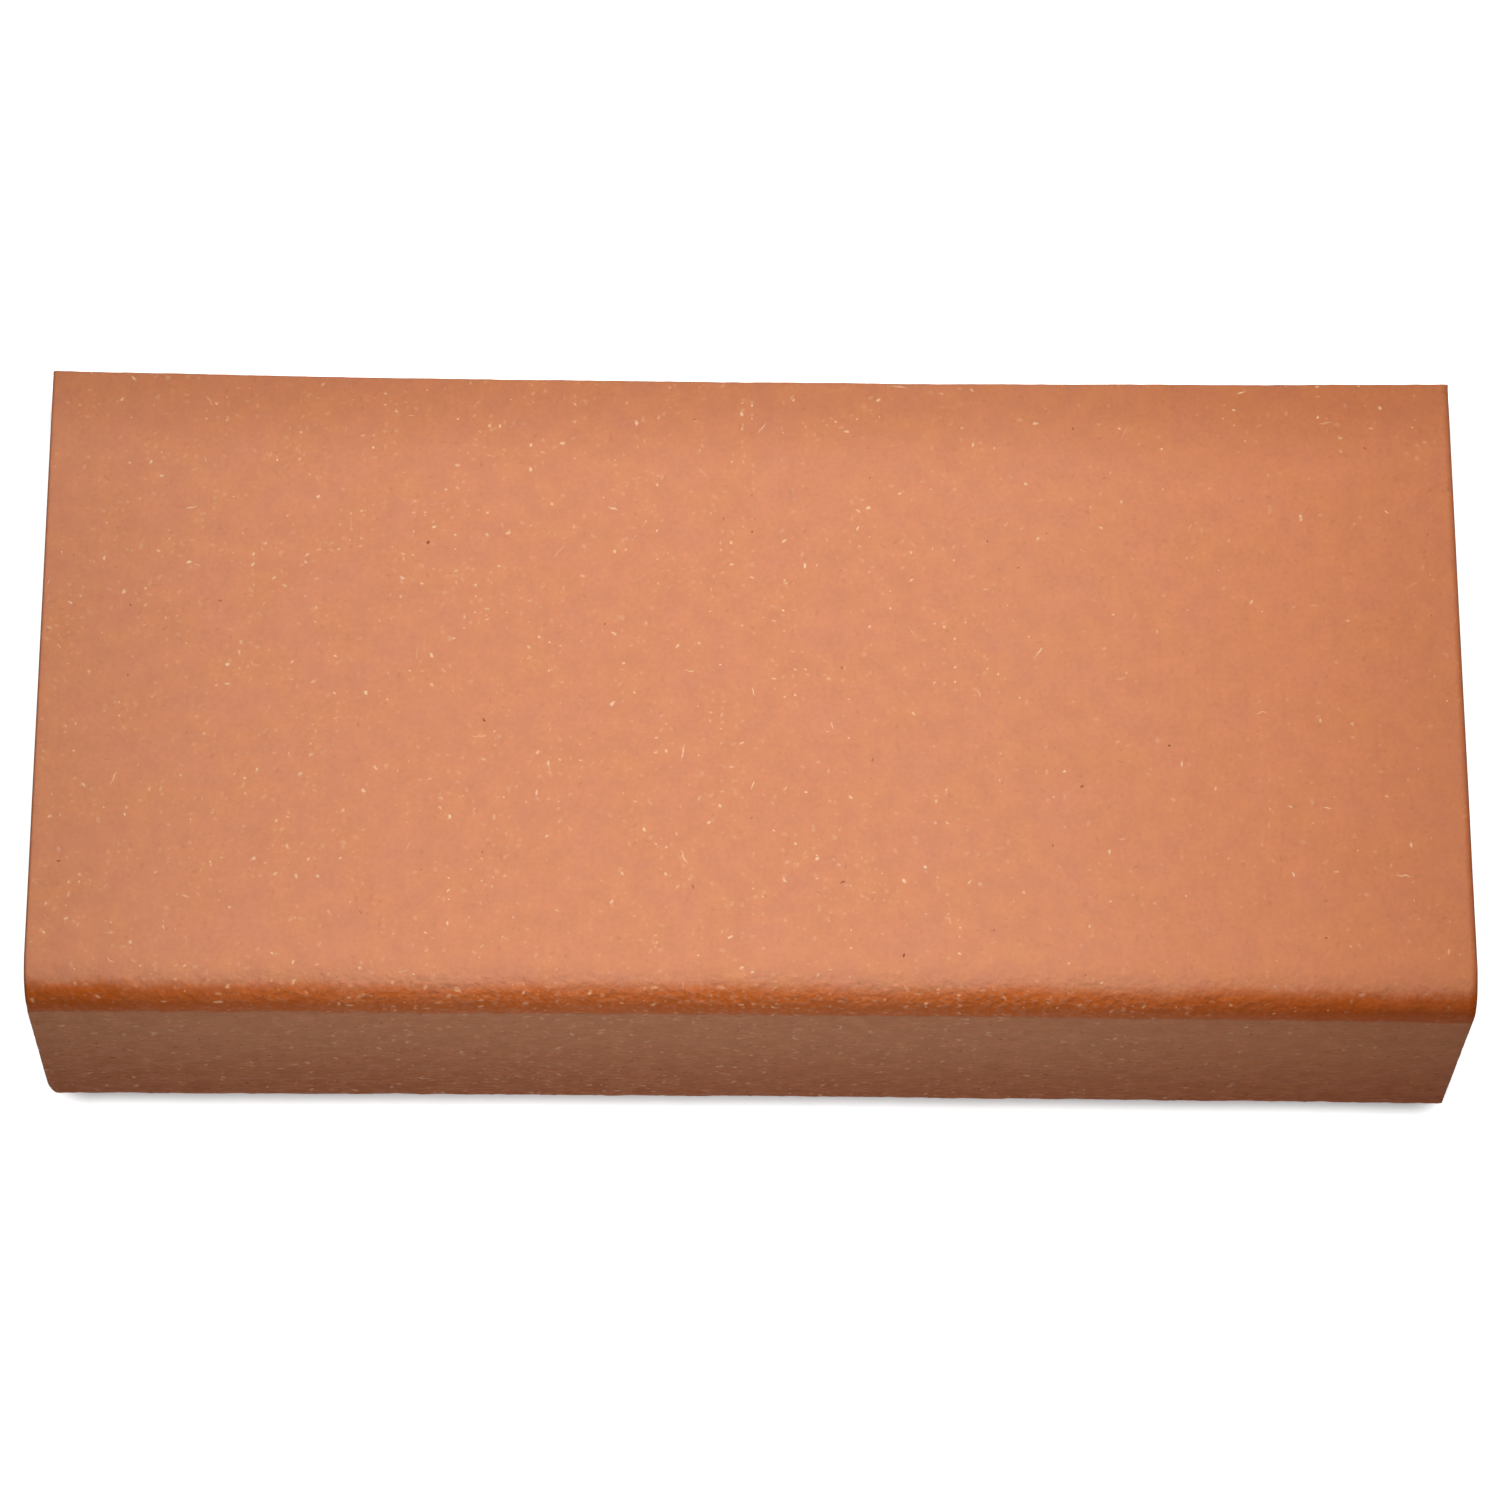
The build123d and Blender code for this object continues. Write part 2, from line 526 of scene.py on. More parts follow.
def cut_end(ring, ring_ids, outer, inner, size, first_vertex, torn):
    """Grid of a cut end between the worn and the hidden side: row f, column w is
    (1 - f) outer(w) + f inner(w), with the clay torn in a little by the cutting wire. Strips of triangles
    join it to the ring. Faces are in the order that looks towards +X."""
    d, t, g = size.depth, size.plate_thickness, size.leg_thickness
    h, a, r, q = size.leg_height, size.arris_radius, size.inner_radius, size.toe_radius
    back, toe = (d, -t / 2), (g / 2, -h)
    outer_anchors = [back, (d - a, 0), (g + r, 0), (0, -t - r), (0, q - h), toe]
    inner_anchors = [back, (d - a, -t), (g + r, -t), (g, -t - r), (g, a - h), toe]
    dent_shades = np.cumsum([0, t, d - g - r, 2 * r, h - t - r, t])
    outer_place = cap_places(outer, outer_anchors, dent_shades)
    inner_place = cap_places(inner, inner_anchors, dent_shades)
    on_outer = np.arange(len(outer))
    on_inner = np.concatenate([[0], np.arange(len(ring) - 1, len(outer) - 2, -1)])
    columns = np.linspace(0, dent_shades[-1], CAP_COLUMNS + 2)[1:-1]
    sides = [
        np.stack([np.interp(columns, place, ring[chain, axis]) for axis in range(3)], axis=1)
        for chain, place in ((on_outer, outer_place), (on_inner, inner_place))
    ]
    f = ((np.arange(CAP_ROWS) + 1) / (CAP_ROWS + 1))[:, None, None]
    grid = (1 - f) * sides[0] + f * sides[1]
    grid[..., 0] -= np.sign(grid[..., 0]) * torn
    ids = first_vertex + np.arange(CAP_ROWS * CAP_COLUMNS).reshape(CAP_ROWS, CAP_COLUMNS)
    quads = np.stack([ids[:-1, :-1], ids[:-1, 1:], ids[1:, 1:], ids[1:, :-1]], axis=-1).reshape(-1, 4)
    back_id, toe_id = np.full((2, CAP_ROWS - 1), [[ring_ids[0]], [ring_ids[len(outer) - 1]]])
    triangles = np.concatenate([
        zipped(ring_ids[on_outer], outer_place, ids[0], columns),
        zipped(ring_ids[on_inner], inner_place, ids[-1], columns)[:, ::-1],
        np.stack([back_id, ids[:-1, 0], ids[1:, 0]], axis=1),
        np.stack([toe_id, ids[1:, -1], ids[:-1, -1]], axis=1),
    ])
    return grid.reshape(-1, 3), quads, triangles


def rest_tilt(size):
    """Angle by which the tile leans back when it lies on its toe and back edge."""
    return math.atan2(size.leg_height - size.plate_thickness, size.depth - size.leg_thickness)


def laid_to_rest(points, size):
    """Tips points of the tile as laid back by its rest tilt and sets them in the frame's box: the toe's round
    at its front and the heel's round on its floor."""
    tilt = rest_tilt(size)
    c, s = math.cos(tilt), math.sin(tilt)
    y = points[:, 1] * c + points[:, 2] * s
    z = points[:, 2] * c - points[:, 1] * s
    front = size.toe_radius * (c - 1) + (size.toe_radius - size.leg_height) * s
    heel_y, heel_z = size.leg_thickness - size.arris_radius, size.arris_radius - size.leg_height
    lowest = heel_z * c - heel_y * s - size.arris_radius
    return np.stack([points[:, 0], y - front + TILE_LOW.y, z - lowest + TILE_LOW.z], axis=1)


def bowed(points, size, relief):
    """Draws the nose, the toe and the back edge in at mid length, each by its bow times 1 - (2x / length)^2,
    lifting the leg as much as keeps its heel on the floor. Rounds the left toe corner: there the end moves in
    by reach (1 - sqrt(1 - (depth below the round's start / rise)^2)). Skews the ends: the front moves right
    and the back left by half the skew, and the length shrinks by the skew to make room."""
    x, y, z = points.T
    middle = 1 - (2 * x / size.length) ** 2
    back = np.clip(y / size.depth, 0, 1)
    down = np.clip(-z / size.leg_height, 0, 1)
    front_bow = relief.front_bow + (relief.toe_bow - relief.front_bow) * down
    moved = middle * (front_bow * (1 - back) - relief.back_bow * back)
    lift = np.maximum(moved, 0) * math.tan(rest_tilt(size)) * down
    below = np.clip(1 - (z + size.leg_height) / relief.corner_rise, 0, 1)
    near_left = ramp(-x, size.length / 2 - CORNER_START * relief.corner_reach, size.length / 2)
    drawn = relief.corner_reach * (1 - np.sqrt(1 - below ** 2)) * near_left
    skewed = relief.skew * (0.5 - back - x / size.length)
    return np.stack([x + drawn + skewed, y + moved, z + lift], axis=1)


def finishes(section, normals, worn, size):
    """Where each finish lies around the section, from 0 to 1: the nose with its burnish, its rough skin,
    which starts earlier, the dragged front face below it, the painted reflection of the white table that
    fades down that face, and the painted shade towards the back edge. The nose and the rough skin go on down
    the front face."""
    turn = np.degrees(np.arctan2(-normals[:, 0], normals[:, 1]))
    below = -section[:, 1] - size.nose_radius
    riser = ramp(below, *RISER_START) * worn
    return {
        "nose": ramp(turn, *BURNISHED_TURN) * worn,
        "rough": ramp(turn, *ROUGH_TURN) * worn,
        "riser": riser,
        # Painted reflection of the white table, fading down the front face
        "painted_reflection": riser * (1 - ramp(below, REFLECTION_FADE_START, size.leg_height - size.nose_radius)),
        # Painted shade towards the back edge
        "painted_edge_shade": ramp(section[:, 0], size.depth - BACK_SHADE_REACH, size.depth) * worn,
    }


def tile_surface(size, relief):
    """The whole tile: the section's ring carried along X, drawn in at the cut ends and lifted by its relief,
    with a grid over each cut end. Returns its points, its quads and triangles, its finishes at the points,
    and at the corners of the faces the place on the unrolled skin, (x, distance around), or on the cut
    end."""
    outer, inner = outer_skin(size), inner_skin(size)
    section = np.concatenate([outer[:-1], inner[:0:-1]])
    normals, mitred = outward(section)
    s = lengths_along(np.concatenate([section, section[:1]]))
    around = s[-1]
    x, inset = stations(size)
    worn = (np.arange(len(section)) < len(outer)).astype(float)
    masks = finishes(section, normals, worn, size)

    # No relief on the two lines that the tile rests on
    heel, back = (size.leg_thickness, -size.leg_height), (size.depth, -size.plate_thickness)
    free = np.ones(len(section))
    for contact in (heel, back):
        away = np.linalg.norm(section - contact, axis=1) / size.arris_radius
        free *= ramp(away, *RELIEF_START)
    height = surface_relief(relief, x + size.length / 2, s[:-1], size.length, around, masks["rough"]) * free

    # The cut ends' arrises are crisper along the back edge and the front face, at the right over the nose too
    facing_back = ramp(normals[:, 0], *LOOKS_BACK) * worn
    facing_front = np.where(x[:, None] > 0, masks["nose"], masks["riser"])
    drawn_in = inset[:, None] * (1 - relief.crisp_front * np.maximum(facing_front, facing_back))
    y = section[:, 0] - drawn_in * mitred[:, 0] + height * normals[:, 0]
    z = section[:, 1] - drawn_in * mitred[:, 1] + height * normals[:, 1]
    rings = np.stack([np.broadcast_to(x[:, None], y.shape), y, z], axis=-1)

    count, turns = y.shape
    ids = np.arange(count * turns).reshape(count, turns)
    after = np.roll(ids, -1, axis=1)
    quads = [np.stack([ids[:-1], after[:-1], after[1:], ids[1:]], axis=-1).reshape(-1, 4)]
    corners = (count - 1, turns, 4)
    skin_x = np.broadcast_to(np.stack([x[:-1], x[:-1], x[1:], x[1:]], axis=-1)[:, None], corners)
    skin_s = np.broadcast_to(np.stack([s[:-1], s[1:], s[1:], s[:-1]], axis=-1), corners)
    ring_skin = np.stack([skin_x, skin_s], axis=-1).reshape(-1, 2)

    rng = np.random.default_rng(relief.seed + 1)
    tears = band_noise(rng, CAP_COLUMNS * RELIEF_PITCH, CAP_ROWS * RELIEF_PITCH * 2, TEAR_SPACING)
    torn = relief.tear_depth * np.maximum(tears.T[:CAP_ROWS, :CAP_COLUMNS] + 1, 0)
    vertices, triangles = [rings.reshape(-1, 3)], []
    for ring, ring_ids, order in ((rings[-1], ids[-1], 1), (rings[0], ids[0], -1)):
        first = sum(len(part) for part in vertices)
        grid, end_quads, end_triangles = cut_end(ring, ring_ids, outer, inner, size, first, torn)
        vertices.append(grid)
        quads.append(end_quads[:, ::order])
        triangles.append(end_triangles[:, ::order])

    points = np.concatenate(vertices)
    ends = np.concatenate([part.ravel() for part in quads[1:] + triangles])
    skin = np.concatenate([ring_skin, points[ends, 1:] + CAP_SKIN_START])
    on_caps = len(points) - count * turns
    masks = {
        name: np.concatenate([np.tile(mask, count), np.zeros(on_caps)]) for name, mask in masks.items()
    }

    # The cut ends take the nose's burnish, and so do their rims, the right one more and both less towards the
    # back;
    # on the rims this darker colour is also painted shade where the rounded arris falls away
    rim = (inset / inset.max()) ** RIM_SPREAD * np.where(x < 0, size.left_arris / size.right_arris, 1.0)
    burnish_and_rim_shade = np.outer(rim, 1 - RIM_LOSS * np.clip(section[:, 0] / size.depth, 0, 1))
    masks["cut_end"] = np.concatenate([burnish_and_rim_shade.ravel(), np.ones(on_caps)])
    points = laid_to_rest(bowed(points, size, relief), size)
    return points, np.concatenate(quads), np.concatenate(triangles), masks, skin


def filled_mesh(name, points, quads, triangles):
    """Mesh of the given points, four-sided and three-sided faces."""
    mesh = bpy.data.meshes.new(name)
    corners = np.concatenate([quads.ravel(), triangles.ravel()]).astype(np.int32)
    sides = np.concatenate([np.full(len(quads), 4), np.full(len(triangles), 3)])
    starts = np.concatenate([[0], np.cumsum(sides)[:-1]]).astype(np.int32)
    mesh.vertices.add(len(points))
    mesh.vertices.foreach_set("co", points.astype(np.float32).ravel())
    mesh.loops.add(len(corners))
    mesh.loops.foreach_set("vertex_index", corners)
    mesh.polygons.add(len(sides))
    mesh.polygons.foreach_set("loop_start", starts)
    mesh.polygons.foreach_set("use_smooth", np.ones(len(sides), bool))
    mesh.update(calc_edges=True)
    if mesh.validate():
        raise RuntimeError(f"{name} has faces that do not fit together")
    return mesh


def add_node(tree, kind, inputs=None, **settings):
    """Adds a shader node, makes its settings and fills its inputs, each with a value, with another node's
    output, or with another node, which stands for its first output in use."""
    node = tree.nodes.new("ShaderNode" + kind)
    for name, value in settings.items():
        setattr(node, name, value)
    for key, value in (inputs or {}).items():
        if isinstance(value, bpy.types.Node):
            value = next(output for output in value.outputs if output.enabled)
        if isinstance(value, bpy.types.NodeSocket):
            tree.links.new(value, node.inputs[key])
        else:
            node.inputs[key].default_value = value
    return node


def emptied(owner):
    """Clears the nodes of a material or a world, and gives add_node for its tree."""
    owner.use_nodes = True
    owner.node_tree.nodes.clear()
    return functools.partial(add_node, owner.node_tree)


def per_metre(size):
    """Texture scale at which one cell of a pattern has this size."""
    return 1.0 / size


def opaque(colour):
    """Linear colour with full alpha, as colour sockets take it."""
    return (*colour, 1.0)


# Places of the two colours among a mix node's inputs
MIX_A, MIX_B = 6, 7

# Noises of the clay: size of a cell, detail and roughness
CLAY_NOISES = {
    "clouds": (8 * MM, 3.0, 0.7),
    "lumps": (4 * MM, 3.0, 0.5),
    "swells": (14 * MM, 1.0, 0.5),
    "coarse_grain": (1.3 * MM, 2.0, 0.5),
    "fine_grain": (0.9 * MM, 2.0, 0.6),
    "wander": (0.8 * MM, 0.0, 0.5),
}

# Distances from mid length at which a finish starts to change and stops: the nose to both ends, the tint and
# the flecks to the right, and the painted shade close to both ends
NOSE_ENDS = (45 * MM, 110 * MM)
TINT_REACH = (35 * MM, 110 * MM)
FLECK_REACH = (0.0, 60 * MM)
CUT_END_SHADE_REACH = (92 * MM, 120 * MM)

# Streaks that the die drags on the front face, along the length and across it
STREAK_LENGTH = 2.4 * MM
STREAK_WIDTH = 0.8 * MM

# How far the edges of flecks wander, and the share of a fleck's radius that is at its full strength
FLECK_WANDER = 0.4 * MM
FLECK_CORE = 0.4

# Kinds of fleck: size of the cells that may hold one each, least and most radius, least and most stretch, and
# how many are faint. Worn patches with painted highlights, and painted dent shades, have cells of their own
# sizes, so that they don't cover each other.
FLECKS = {
    "grog": {"cell": 1.8 * MM, "radius": (0.15 * MM, 0.31 * MM), "stretch": (1.0, 2.2), "fade": 3.8},
    "hairs": {"cell": 12.0 * MM, "radius": (0.1 * MM, 0.16 * MM), "stretch": (6.0, 12.0), "fade": 1.5},
    "specks": {"cell": 1.7 * MM, "radius": (0.24 * MM, 0.42 * MM), "stretch": (1.0, 2.0), "fade": 1.0},
    "tips": {"cell": 1.8 * MM, "radius": (0.2 * MM, 0.46 * MM), "stretch": (1.0, 2.4), "fade": 1.5},
    "rubs_and_highlights": {"cell": 2.5 * MM, "radius": (0.24 * MM, 0.5 * MM), "stretch": (1.0, 2.4), "fade": 1.1},
    "pits": {"cell": 5.0 * MM, "radius": (0.12 * MM, 0.22 * MM), "stretch": (1.0, 2.5), "fade": 2.0},
    "dent_shades": {"cell": 2.2 * MM, "radius": (0.18 * MM, 0.34 * MM), "stretch": (1.0, 3.0), "fade": 2.0},
}

# Shares of their cells that hold hair lines and pits, and what the nose adds to the share that holds grog
HAIR_SHARE = 0.5
PIT_SHARE = 0.1
NOSE_GROG = 0.15

# Strengths of the specks and of the worn patches with their painted highlights on the front face, and how far
# these go from the tips' colour to the flecks'
SPECK_STRENGTH = 0.15
RUB_AND_HIGHLIGHT_STRENGTH = 0.55
RUB_AND_HIGHLIGHT_PALENESS = 0.5

# Share of cells with a worn tip and its painted highlight at mid length, and what it loses at the cut ends
# and on the front face
TIP_SHARE = 0.7
TIP_LOSS_ENDS = 0.62
TIP_LOSS_RISER = 0.45

# Share of cells with a painted dent shade, and what it loses where the flecks are densest
DENT_SHADE_SHARE = 0.95
DENT_SHADE_LOSS = 0.5

# Weights of the swells in a finish's broken edge and of that edge against the finish, of the burnish on the
# cut ends with the painted shade of their rims, and of the lumps in the streaks and in the shade
EDGE_SWELLS = 0.7
EDGE_BREAK = 0.8
END_BURNISH_AND_SHADE = 0.7
STREAK_LUMPS = 0.35
SHADE_LUMPS = 1.2

# What the nose's tips and standing grain lose on the front face, and the height that the grain's noise stands
# for at full strength
NOSE_LOSS = 0.6
GRAIN_RELIEF = 0.5 * MM


def fleck_layer(node, place, share, cell, radius, stretch, fade):
    """Strength of scattered flecks. Each cell of a flat Voronoi pattern may hold one about its point: an
    ellipse of random direction, radius and stretch. share is how many cells have one, and fade how many of
    those are faint."""
    cells = node("TexVoronoi", {"Vector": place, "Scale": per_metre(cell)}, voronoi_dimensions="2D").outputs
    chance = node("SeparateColor", {"Color": cells["Color"]}).outputs
    offset = node("VectorMath", {0: place, 1: cells["Position"]}, operation="SUBTRACT")
    angle = node("Math", {0: chance["Green"], 1: math.tau}, operation="MULTIPLY")
    spun = node("VectorRotate", {"Vector": offset, "Angle": angle}, rotation_type="Z_AXIS")
    squeeze = node("MapRange", {"Value": chance["Blue"], "To Min": 1 / stretch[0], "To Max": 1 / stretch[1]})
    scale = node("CombineXYZ", {"X": squeeze, "Y": 1.0, "Z": 0.0})
    squeezed = node("VectorMath", {0: spun, 1: scale}, operation="MULTIPLY")
    away = node("VectorMath", {0: squeezed}, operation="LENGTH")
    reach = node("MapRange", {"Value": chance["Blue"], "To Min": radius[0], "To Max": radius[1]})
    part = node("Math", {0: away, 1: reach}, operation="DIVIDE")
    inside = node(
        "MapRange", {"Value": part, "From Min": 1.0, "From Max": FLECK_CORE},
        interpolation_type="SMOOTHSTEP")
    present = node("MapRange", {"Value": chance["Red"], "From Max": share, "To Min": 1.0, "To Max": 0.0})
    strength = node("Math", {0: present, 1: fade}, operation="POWER")
    return node("Math", {0: inside, 1: strength}, operation="MULTIPLY")


def pressed_clay(node, colours, mask, noise, place):
    """Colour of the clay as it leaves the die and the fire: the flat faces, the nose and arrises with their
    burnish, which on the rims of the cut ends is also painted shade, and the front face, paler and greyer
    below the nose by a painted reflection of the white table."""
    # Clouds of pinker and yellower clay
    cloudy = node("MapRange", {"Value": noise["clouds"], "From Min": 0.3, "From Max": 0.7})
    face = node(
        "Mix", {0: cloudy, MIX_A: opaque(colours.face_pink), MIX_B: opaque(colours.face)}, data_type="RGBA")

    # Burnish of the nose and arrises, with edges that grains and swells break, and rubbed thin on the grains
    grains = noise["coarse_grain"]
    broken_edge = node("Math", {0: noise["swells"], 1: EDGE_SWELLS, 2: grains}, operation="MULTIPLY_ADD")
    nose_edge = node("Math", {0: broken_edge, 1: EDGE_BREAK, 2: mask["nose"]}, operation="MULTIPLY_ADD")
    burnish = node(
        "MapRange", {"Value": nose_edge, "From Min": 0.8, "From Max": 1.7}, interpolation_type="SMOOTHSTEP")
    thinnest = node("MapRange", {"Value": place["ends"], "To Min": 0.55, "To Max": 0.85})
    thinned = node(
        "MapRange",
        {"Value": grains, "From Min": 0.46, "From Max": 0.68, "To Min": 1.0, "To Max": thinnest})
    grainy = node("Math", {0: burnish, 1: thinned}, operation="MULTIPLY")
    # The cut ends take the nose's colour: burnish, and on their rims also painted shade of the rounded arris
    burnish_and_rim_shade = node(
        "Math", {0: mask["cut_end"], 1: END_BURNISH_AND_SHADE, 2: grainy}, operation="MULTIPLY_ADD", use_clamp=True)
    nose_tone = node(
        "Mix", {0: place["ends"], MIX_A: opaque(colours.nose), MIX_B: opaque(colours.nose_end)},
        data_type="RGBA")
    nosed = node("Mix", {0: burnish_and_rim_shade, MIX_A: face, MIX_B: nose_tone}, data_type="RGBA")

    # Front face: paler below the nose by a painted reflection of the white table, fading down to the warmer
    # clay near the toe, and faintly streaked along the die's drag lines, painted paler as their highlights
    riser_tone = node(
        "Mix", {0: mask["painted_reflection"], MIX_A: opaque(colours.riser), MIX_B: opaque(colours.painted_reflection)},
        data_type="RGBA")
    streak_scale = (per_metre(STREAK_LENGTH), per_metre(STREAK_WIDTH), 0.0)
    streak_place = node("Mapping", {"Vector": place["skin"], "Scale": streak_scale})
    streaks = node(
        "TexNoise", {"Vector": streak_place, "Scale": 1.0, "Detail": 2.0, "Roughness": 0.5},
        noise_dimensions="2D")
    patchy = node("Math", {0: noise["lumps"], 1: STREAK_LUMPS, 2: streaks}, operation="MULTIPLY_ADD")
    streaked = node("MapRange", {"Value": patchy, "From Min": 0.6, "From Max": 1.0, "To Max": 0.22})
    riser = node("Mix", {0: streaked, MIX_A: riser_tone, MIX_B: opaque(colours.pale_clay_and_highlight)}, data_type="RGBA")
    riser_edge = node("Math", {0: broken_edge, 1: EDGE_BREAK, 2: mask["riser"]}, operation="MULTIPLY_ADD")
    on_riser = node("MapRange", {"Value": riser_edge, "From Min": 1.0, "From Max": 1.35})
    return node("Mix", {0: on_riser, MIX_A: nosed, MIX_B: riser}, data_type="RGBA")


def shaded_clay(node, colours, mask, noise, place, clay):
    """The clay's colour, a little lighter and darker by lumps and fine grain, darker towards the right end,
    and darker by painted shade towards the back edge and the cut ends."""
    uneven = node(
        "Math", {0: noise["lumps"], 1: SHADE_LUMPS, 2: noise["fine_grain"]}, operation="MULTIPLY_ADD")
    shade = node(
        "MapRange", {"Value": uneven, "From Min": 0.6, "From Max": 1.6, "To Min": 0.93, "To Max": 1.07})
    shaded = node("Mix", {0: 1.0, MIX_A: clay, MIX_B: shade}, data_type="RGBA", blend_type="MULTIPLY")
    to_right = node(
        "MapRange", {"Value": place["along"], "From Min": TINT_REACH[0], "From Max": TINT_REACH[1]},
        interpolation_type="SMOOTHSTEP")
    tinted = node(
        "Mix", {0: to_right, MIX_A: shaded, MIX_B: opaque(colours.tint)},
        data_type="RGBA", blend_type="MULTIPLY")
    # Painted shade: the clay is darkened towards the back edge and the cut ends
    cut_end_shading = node(
        "MapRange",
        {"Value": place["from_middle"], "From Min": CUT_END_SHADE_REACH[0], "From Max": CUT_END_SHADE_REACH[1], "To Max": 0.3})
    edge_shading = node("Math", {0: mask["painted_edge_shade"], 1: cut_end_shading}, operation="MAXIMUM")
    return node(
        "Mix", {0: edge_shading, MIX_A: tinted, MIX_B: opaque(colours.painted_edge_shade)},
        data_type="RGBA", blend_type="MULTIPLY")


def flecked_clay(node, colours, mask, noise, place, clay):
    """The clay's colour with its flecks, whose edges wander: the place on the skin is moved by a noise, less
    its mean of a half."""
    nudge = node("VectorMath", {0: noise["wander"].outputs["Color"], 1: (-0.5, -0.5, -0.5)}, operation="ADD")
    ragged = node(
        "VectorMath", {0: nudge, 1: (FLECK_WANDER, FLECK_WANDER, 0.0), 2: place["skin"]},
        operation="MULTIPLY_ADD")
    layer = functools.partial(fleck_layer, node, ragged)

    # Cream grog in clusters, fewer to the right, with a few hair lines and faint specks
    start, stop = FLECK_REACH
    sparser = node(
        "MapRange",
        {"Value": place["along"], "From Min": start, "From Max": stop, "To Min": 1.0, "To Max": 0.35},
        interpolation_type="SMOOTHSTEP")
    clusters = node(
        "MapRange",
        {"Value": noise["clouds"], "From Min": 0.43, "From Max": 0.65, "To Min": 0.08, "To Max": 1.0})
    crowding = node("Math", {0: sparser, 1: clusters}, operation="MULTIPLY")
    crowded = node("Math", {0: mask["nose"], 1: NOSE_GROG, 2: crowding}, operation="MULTIPLY_ADD")
    grog = layer(crowded, **FLECKS["grog"])
    hairs = layer(HAIR_SHARE, **FLECKS["hairs"])
    bright = node("Math", {0: grog, 1: hairs}, operation="MAXIMUM")
    brightness = node("MapRange", {"Value": mask["nose"], "To Min": 0.68, "To Max": 0.25})
    dimmed = node("Math", {0: bright, 1: brightness}, operation="MULTIPLY")
    specks = layer(crowding, **FLECKS["specks"])
    dusted = node("Math", {0: specks, 1: SPECK_STRENGTH}, operation="MULTIPLY")
    paled = node("Math", {0: dimmed, 1: dusted}, operation="MAXIMUM")

    # Pale tips of the grain on the nose, and pale patches on the front face: worn paler clay, and painted
    # highlights on the grain
    towards_ends = node("Math", {0: place["ends"], 1: -TIP_LOSS_ENDS, 2: TIP_SHARE}, operation="MULTIPLY_ADD")
    fewer = node(
        "Math", {0: mask["riser"], 1: -TIP_LOSS_RISER, 2: towards_ends}, operation="MULTIPLY_ADD",
        use_clamp=True)
    tips = layer(fewer, **FLECKS["tips"])
    on_nose = node("Math", {0: mask["riser"], 1: -NOSE_LOSS, 2: mask["nose"]}, operation="MULTIPLY_ADD")
    nose_tips = node("Math", {0: tips, 1: on_nose}, operation="MULTIPLY")
    patches = node(
        "MapRange",
        {"Value": noise["swells"], "From Min": 0.38, "From Max": 0.65, "To Min": 0.25, "To Max": 0.7})
    sparse_patches = node("Math", {0: patches, 1: sparser}, operation="MULTIPLY")
    rubs_and_highlights = layer(sparse_patches, **FLECKS["rubs_and_highlights"])
    on_riser = node("Math", {0: rubs_and_highlights, 1: mask["riser"]}, operation="MULTIPLY")
    riser_rubs_and_highlights = node("Math", {0: on_riser, 1: RUB_AND_HIGHLIGHT_STRENGTH}, operation="MULTIPLY")
    rub_and_highlight_share = node("Math", {0: nose_tips, 1: riser_rubs_and_highlights}, operation="MAXIMUM")
    paler = node("Math", {0: mask["riser"], 1: RUB_AND_HIGHLIGHT_PALENESS}, operation="MULTIPLY")
    pale_clay_and_highlight_tone = node(
        "Mix", {0: paler, MIX_A: opaque(colours.pale_clay_and_highlight), MIX_B: opaque(colours.fleck)}, data_type="RGBA")
    with_pale_clay_and_highlights = node("Mix", {0: rub_and_highlight_share, MIX_A: clay, MIX_B: pale_clay_and_highlight_tone}, data_type="RGBA")
    flecked = node("Mix", {0: paled, MIX_A: with_pale_clay_and_highlights, MIX_B: opaque(colours.fleck)}, data_type="RGBA")

    # Dark pits, and fainter painted shade of small dents, more of it to the right and stronger on the front
    # face
    pits = layer(PIT_SHARE, **FLECKS["pits"])
    denser = node("Math", {0: sparser, 1: -DENT_SHADE_LOSS, 2: DENT_SHADE_SHARE}, operation="MULTIPLY_ADD")
    dent_shades = layer(denser, **FLECKS["dent_shades"])
    darkness = node("MapRange", {"Value": mask["riser"], "To Min": 0.16, "To Max": 0.55})
    faint_dent_shades = node("Math", {0: dent_shades, 1: darkness}, operation="MULTIPLY")
    dark = node("Math", {0: pits, 1: faint_dent_shades}, operation="MAXIMUM")
    return node("Mix", {0: dark, MIX_A: flecked, MIX_B: opaque(colours.pit_and_dent_shade)}, data_type="RGBA")


